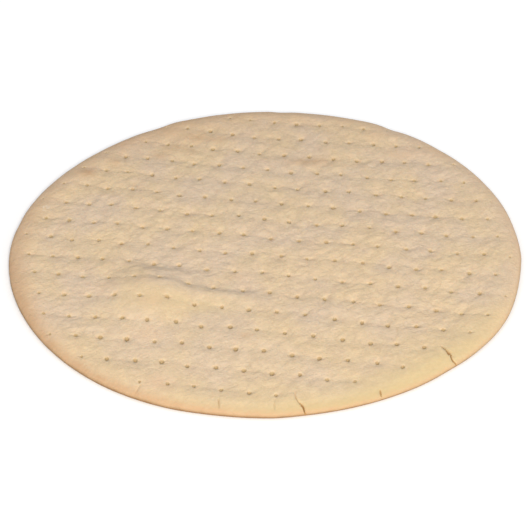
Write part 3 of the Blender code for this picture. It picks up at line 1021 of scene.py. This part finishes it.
class Graph:
    """A material's nodes."""

    def __init__(self, name: str) -> None:
        """Starts a material with a Principled shader."""
        self.material = bpy.data.materials.new(name)
        self.material.use_nodes = True
        self.tree = self.material.node_tree
        self.shader = self.tree.nodes["Principled BSDF"]

    def node(self, kind: str, settings: dict[str, Any], values: dict[Any, Any], output: Any = 0) -> Sock:
        """Adds a node.

        Args:
            kind: The node's type.
            settings: Its own settings, set before its sockets.
            values: What each of its sockets, by name or count, is set or linked to.
            output: The name or count of the socket wanted.

        Returns:
            That socket.
        """
        node = self.tree.nodes.new(kind)
        for name, value in settings.items():
            setattr(node, name, value)
        for key, value in values.items():
            self.put(node.inputs[key], value)
        return Sock(self, node.outputs[output])

    def put(self, target: bpy.types.NodeSocket, value: Any) -> None:
        """Links a socket to another, or sets its own value."""
        if isinstance(value, Sock):
            self.tree.links.new(value.socket, target)
        else:
            target.default_value = value

    def finish(self, values: dict[str, Any]) -> bpy.types.Material:
        """The material, once sockets of its shader are set or linked by name."""
        for name, value in values.items():
            self.put(self.shader.inputs[name], value)
        return self.material

    def mask(self, mask: Mask) -> Sock:
        """The value of one of the piece's masks."""
        return self.node("ShaderNodeAttribute", {"attribute_name": mask.value}, {}, "Fac")

    def place(self) -> Sock:
        """Object coordinates."""
        return self.node("ShaderNodeTexCoord", {}, {}, "Object")

    def streaked(self, long: float, turn: float) -> Sock:
        """Object coordinates in which soft noise comes out stretched along a level bearing."""
        values = {"Vector": self.place(), "Scale": (long, 1.0, 1.0), "Rotation": (0.0, 0.0, turn)}
        return self.node("ShaderNodeMapping", {"vector_type": "TEXTURE"}, values)

    def noise(self, place: Sock, grain: Grain) -> Sock:
        """Soft noise, 0 to 1."""
        values = {"Vector": place, "Scale": 1.0 / grain.size, "Detail": grain.detail}
        values["Roughness"] = grain.roughness
        return self.node("ShaderNodeTexNoise", {"noise_dimensions": "3D"}, values, "Fac")

    def mix(self, factor: Any, first: Any, second: Any) -> Sock:
        """A colour between two."""
        return self.node("ShaderNodeMix", {"data_type": "RGBA"}, {0: factor, 6: first, 7: second}, 2)

    def shaded(self, colour: Sock, by: Sock) -> Sock:
        """A colour times a number."""
        grey = self.node("ShaderNodeCombineColor", {}, {0: by, 1: by, 2: by})
        settings = {"data_type": "RGBA", "blend_type": "MULTIPLY"}
        return self.node("ShaderNodeMix", settings, {0: 1.0, 6: colour, 7: grey}, 2)


@dataclass(frozen=True)
class Coat:
    """A colour that lies over another where a value is high."""

    colour: Colour
    low: float  # the value where it starts
    high: float  # and where it lies thickest
    most: float = 1.0  # how much it hides there

    def over(self, below: Any, value: Sock) -> Sock:
        """The colour below, with the coat laid over it."""
        return value.graph.mix(value.between(self.low, self.high) * self.most, below, self.colour)


TAN: Colour = (0.515, 0.33, 0.187, 1.0)
BROWN: Colour = (0.23, 0.12, 0.05, 1.0)
YELLOW: Colour = (0.68, 0.516, 0.328, 1.0)


@dataclass(frozen=True)
class BakedDough:
    """Pale par-baked dough: dry, matt, browner on the rim and in the holes, with flour dust and painted shade
    and light.
    """

    pale: Colour = (0.65, 0.502, 0.358, 1.0)
    butter: Colour = (0.602, 0.463, 0.258, 1.0)
    # a lighter peach, partly painted light
    lit_peach: Colour = (0.72, 0.497, 0.312, 1.0)
    # a darker gold, partly painted shade
    gold: Colour = (0.5, 0.4, 0.205, 1.0)
    # painted shade laid along the floors of the creases
    crease: Colour = (0.47, 0.35, 0.235, 1.0)
    clouds: Coat = Coat(YELLOW, 0.36, 0.64)
    pink: Coat = Coat((0.63, 0.476, 0.342, 1.0), 0.5, 0.78, 0.6)
    toast: Coat = Coat(TAN, 0.0, 1.2)
    orange: Coat = Coat((0.312, 0.207, 0.107, 1.0), 0.72, 1.3, 0.8)
    # a dark brown line round the underside of the rim: partly browning, partly painted shade where the rim
    # curls under to the floor
    line: Coat = Coat(BROWN, 0.95, 1.45, 0.85)
    # a yellower ring round each hole: partly a tint, partly a painted highlight on the dimple's lit far slope
    pit: Coat = Coat(YELLOW, 0.02, 0.5, 0.5)
    # the hole's own brown crumb, and painted shade inside the pit
    hole: Coat = Coat((0.372, 0.262, 0.128, 1.0), 0.5, 0.84, 0.82)
    flour: Coat = Coat((0.8, 0.73, 0.62, 1.0), 0.66, 0.86, 0.35)
    split: Coat = Coat((0.34, 0.18, 0.062, 1.0), 0.04, 0.55, 0.9)
    roughness: float = 0.85
    specular: float = 0.25
    scatter: float = 0.12
    scatter_radius: tuple[float, float, float] = (1.0, 0.55, 0.3)
    scatter_scale: float = 0.0016
    streak: float = 1.3
    streak_turn: float = math.radians(38.0)
    cloud: Grain = Grain(0.045, 2.0)
    rose: Grain = Grain(0.021)
    patch: Grain = Grain(0.006)
    speckle: Grain = Grain(0.0016, 3.0, 0.65)
    crepe: Grain = Grain(0.008, 3.0, 0.6)
    blotch: Grain = Grain(0.016, 4.0, 0.6)
    dust: Grain = Grain(0.0022, 4.0, 0.7)
    crinkle: Grain = Grain(0.0026, 4.0, 0.62)
    pore: Grain = Grain(0.0009, 2.0)
    crepe_wide: float = 0.09  # width of the fine lines, as a share of the noise's range
    buttered: float = 0.8  # how much butter yellow hides where the skin is puffed
    patch_shade: float = 0.22
    speckle_shade: float = 0.26
    # painted shade along the fine crepe lines, which the bump sinks as valleys
    crepe_shade: float = 0.07
    toasted: Pair = (0.55, 0.9)  # how brown toasted skin is, and how much browner in patches
    uneven: float = 0.3  # how much the patches shift the rim's browning
    rim: Pair = (0.3, 0.95)  # where on the edge the tan of the rim starts, and where it is whole
    rim_toast: float = 0.12  # how much toasting moves it inwards
    rim_most: Pair = (0.55, 0.7)  # how tan a bare rim is, and how much more with toasting
    line_toast: float = 0.25  # how much toasting moves the orange and brown lines inwards
    scorched: Pair = (0.37, 0.67)  # the blotches' values where scorching starts, and where it is whole
    under_most: Pair = (0.35, 0.45)  # how baked the underside is, and how much more where scorched
    # how much of the painted crease shade is laid on
    crease_shading: float = 0.35
    floured: float = 0.3
    crinkle_rise: float = 0.7  # shares of the bump's depth
    pore_rise: float = 0.3
    crepe_rise: float = 0.15
    puff_smooth: float = 0.6
    bump_depth: float = 0.0007

    def crepe_lines(self, place: Sock) -> Sock:
        """Fine crooked lines, 1 along the line where soft noise passes its middle value."""
        off = (place.graph.noise(place, self.crepe) - 0.5).math("ABSOLUTE", 0.0)
        return 1.0 - off.between(0.0, self.crepe_wide)

    def raw(self, graph: Graph, place: Sock, streaked: Sock, patches: Sock) -> Sock:
        """The dough's colour, in clouds, smoother where it is puffed, with grain, and with painted shade
        along fine lines.
        """
        puff = graph.mask(Mask.PUFF)
        colour = self.clouds.over(self.pale, graph.noise(place, self.cloud))
        colour = self.pink.over(colour, graph.noise(place, self.rose))
        colour = graph.mix(puff * self.buttered, colour, self.butter)
        speckles = (graph.noise(streaked, self.speckle) - 0.5) * self.speckle_shade
        # painted shade in the valleys of the fine crepe lines
        lines = self.crepe_lines(streaked) * (1.0 - puff) * self.crepe_shade
        return graph.shaded(colour, 1.0 + (patches - 0.5) * self.patch_shade + speckles - lines)

    def baked(self, graph: Graph, colour: Sock, patches: Sock) -> Sock:
        """The colour once the oven has warmed and browned the skin, most of all round the edge, the warming
        partly painted light.
        """
        toast, edge, uneven = graph.mask(Mask.TOAST), graph.mask(Mask.EDGE), (patches - 0.5) * self.uneven
        # lighter warm colour, partly painted light where the skin lies in shade
        colour = graph.mix(graph.mask(Mask.WARM_AND_LIT), colour, self.lit_peach)
        # darker gold on the front rim, partly painted shade
        colour = graph.mix(graph.mask(Mask.GOLD_AND_SHADE), colour, self.gold)
        colour = self.toast.over(colour, toast * (self.toasted[0] + patches * self.toasted[1]))
        rim = (edge + toast * self.rim_toast + uneven).between(*self.rim)
        rim = rim * (toast * self.rim_most[1] + self.rim_most[0]).math("MINIMUM", 1.0)
        further = edge + toast * self.line_toast + uneven
        # orange browning on the edge, then the dark line below it, partly painted shade
        return self.line.over(self.orange.over(graph.mix(rim, colour, TAN), further), further)

    def colour(self, graph: Graph) -> Sock:
        """The skin's colour, from the dough up to what lies on it.

        Args:
            graph: The material's nodes.

        Returns:
            The colour socket.
        """
        place, streaked = graph.place(), graph.streaked(self.streak, self.streak_turn)
        under, pit = graph.mask(Mask.UNDER), graph.mask(Mask.PIT_STAIN_AND_SHADE)
        patches = graph.noise(streaked, self.patch)
        colour = self.baked(graph, self.raw(graph, place, streaked, patches), patches)
        scorch = under * graph.noise(place, self.blotch).between(*self.scorched)
        bake = under * (self.under_most[0] + scorch * self.under_most[1])
        colour = graph.mix(bake, colour, graph.mix(scorch, TAN, BROWN))
        # painted shade along the floors of the creases
        colour = graph.mix(graph.mask(Mask.CREASE) * self.crease_shading, colour, self.crease)
        # a yellower ring round each hole, partly a painted highlight
        colour = self.pit.over(colour, pit)
        dust = graph.noise(place, self.dust) + graph.mask(Mask.FLOUR) * self.floured
        # flour, then the hole's brown crumb and painted shade
        colour = self.hole.over(self.flour.over(colour, dust), pit)
        return self.split.over(colour, graph.mask(Mask.CRACK))

    def relief(self, graph: Graph) -> Sock:
        """The bump of the finest creping and pores, fainter where the skin is puffed."""
        streaked = graph.streaked(self.streak, self.streak_turn)
        height = graph.noise(streaked, self.crinkle) * self.crinkle_rise
        height = height + graph.noise(graph.place(), self.pore) * self.pore_rise
        height = height - self.crepe_lines(streaked) * self.crepe_rise
        height = height * (1.0 - graph.mask(Mask.PUFF) * self.puff_smooth)
        values = {"Strength": 1.0, "Distance": self.bump_depth, "Height": height}
        return graph.node("ShaderNodeBump", {}, values)

    def material(self) -> bpy.types.Material:
        """The finished material."""
        graph = Graph("baked_dough")
        values = {
            "Base Color": self.colour(graph),
            "Roughness": self.roughness,
            "Subsurface Weight": self.scatter,
            "Subsurface Radius": self.scatter_radius,
            "Subsurface Scale": self.scatter_scale,
            "Specular IOR Level": self.specular,
            "Normal": self.relief(graph),
        }
        return graph.finish(values)


@dataclass(frozen=True)
class PaleFloor:
    """The floor's plain matt finish, with a faint glow towards the back that keeps it white."""

    colour: Colour = (0.94, 0.94, 0.94, 1.0)
    roughness: float = 0.9
    rougher: float = 0.05  # in clouds
    cloud: Grain = Grain(1.0 / 3.0, 1.0, 0.5)
    dark: Colour = (0.0, 0.0, 0.0, 1.0)
    glow: Colour = (0.23, 0.22, 0.21, 1.0)
    glow_from: float = -0.1
    glow_full: float = 0.45

    def material(self) -> bpy.types.Material:
        """The finished material."""
        graph = Graph("pale_floor")
        away = graph.node("ShaderNodeSeparateXYZ", {}, {0: graph.place()}, "Y")
        values = {
            "Base Color": self.colour,
            "Roughness": graph.noise(graph.place(), self.cloud) * self.rougher + self.roughness,
            "Emission Color": graph.mix(away.between(self.glow_from, self.glow_full), self.dark, self.glow),
            "Emission Strength": 1.0,
        }
        return graph.finish(values)


@dataclass(frozen=True)
class Studio:
    """The pale floor, the soft lights and the camera at the photograph's angle."""

    floor_size: float = 12.0
    floor_drop: float = 0.0002
    aim: tuple[float, float, float] = (-0.00016, -0.0157, 0.0)
    viewer: float = -90.0  # bearing in degrees
    elevation: float = 37.28
    distance: float = 1.3038
    lens: float = 127.75  # in millimetres
    sensor: float = 36.0  # its width, also in millimetres
    key_bearing: float = -84.0
    key_elevation: float = 34.0
    key_distance: float = 1.7
    key_size: float = 0.72
    key_power: float = 26.5
    key_colour: tuple[float, float, float] = (1.07, 1.0, 0.89)
    fill: Colour = (0.588, 0.615, 0.663, 1.0)

    def floor(self) -> None:
        """A flat square just under the object."""
        half = 0.5 * self.floor_size
        corners = [(-half, -half), (half, -half), (half, half), (-half, half)]
        mesh = bpy.data.meshes.new("floor")
        mesh.from_pydata([(x, y, -self.floor_drop) for x, y in corners], [], [(0, 1, 2, 3)])
        mesh.materials.append(PaleFloor().material())
        piece = bpy.data.objects.new("floor", mesh)
        bpy.context.scene.collection.objects.link(piece)

    def stand(self, name: str, data: bpy.types.ID, bearing: float, elevation: float, away: float) -> None:
        """Stands a light or camera somewhere round the aim, and points it at the aim.

        Args:
            name: The object's name.
            data: The light or camera.
            bearing: Its bearing from the aim in degrees.
            elevation: Its elevation in degrees.
            away: Its distance.
        """
        turn, rise = math.radians(bearing), math.radians(elevation)
        level = Vector((math.cos(turn) * math.cos(rise), math.sin(turn) * math.cos(rise), math.sin(rise)))
        piece = bpy.data.objects.new(name, data)
        piece.location = Vector(self.aim) + away * level
        piece.rotation_euler = (Vector(self.aim) - piece.location).to_track_quat("-Z", "Y").to_euler()
        bpy.context.scene.collection.objects.link(piece)

    def lights(self) -> None:
        """A large soft key light from the viewer's side, and an even fill from all round."""
        key = bpy.data.lights.new("key", "AREA")
        key.shape = "DISK"
        key.size = self.key_size
        key.energy = self.key_power
        key.color = self.key_colour
        self.stand("key", key, self.key_bearing, self.key_elevation, self.key_distance)
        world = bpy.data.worlds.new("fill")
        world.use_nodes = True
        world.node_tree.nodes["Background"].inputs["Color"].default_value = self.fill
        bpy.context.scene.world = world

    def camera(self) -> None:
        """A camera at the photograph's viewing angle and distance."""
        camera = bpy.data.cameras.new("camera")
        camera.lens = self.lens
        camera.sensor_width = self.sensor
        self.stand("camera", camera, self.viewer, self.elevation, self.distance)
        bpy.context.scene.camera = bpy.data.objects["camera"]

    def build(self) -> None:
        """Sets up the whole studio."""
        self.floor()
        self.lights()
        self.camera()
        bpy.context.scene.view_settings.view_transform = "Standard"


def main() -> None:
    """Sets up the studio, builds the round and dresses it."""
    Studio().build()
    LOG.info("studio: floor, lights and camera")
    crust = Round()
    piece = crust.build("baked_round")
    piece.data.materials.append(BakedDough().material())
    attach(piece, BODY)
    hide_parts(SOLID)
    LOG.info("baked_round: %d holes, %d triangles", len(crust.holes.x), len(piece.data.polygons))


if __name__ == "__main__":
    logging.basicConfig(level=logging.INFO, format="%(name)s: %(message)s")
    main()
